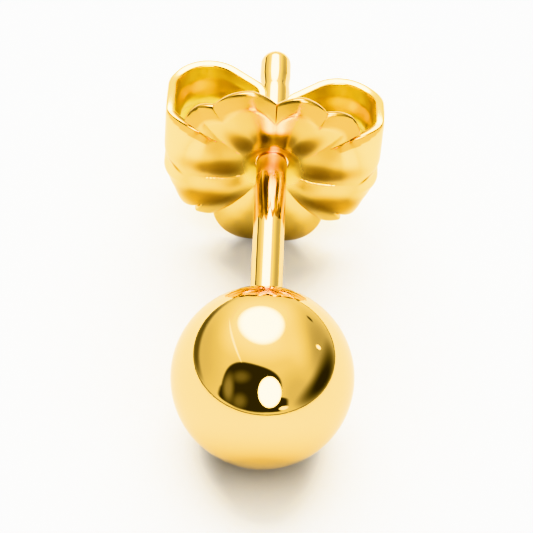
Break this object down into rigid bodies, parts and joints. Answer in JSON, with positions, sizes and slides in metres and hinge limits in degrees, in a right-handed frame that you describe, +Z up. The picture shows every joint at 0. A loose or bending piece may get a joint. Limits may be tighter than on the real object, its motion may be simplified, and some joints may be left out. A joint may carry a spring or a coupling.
{
  "type": "ball stud earring",
  "caption": "Polished ball on a straight ear post with a catch groove, and a fluted butterfly back that slides along the post and off its tip.",
  "frame": {"origin": "on the table, under the middle of the earring's box as it lies at rest", "axes": "+Y from the ball towards the tip of the post, +Z up from the table, +X to the right of someone who looks from the ball along the post; the post rises 4.9 degrees towards its tip"},
  "size_m": [0.0064, 0.0148, 0.0062],
  "materials": {
    "polished_gold": "mirror-polished yellow gold",
    "stamped_gold": "bright yellow gold, stamped from sheet and tumble-polished"
  },
  "bodies": {
    "stud": {"ball_stud": "polished_gold"},
    "back": {"ear_nut": "stamped_gold"}
  },
  "joints": [
    {"name": "back_slide", "type": "slide", "parent": "stud", "child": "back", "axis": [0, 0.9963, 0.0854], "range_m": [-0.0053, 0.0056]}
  ]
}
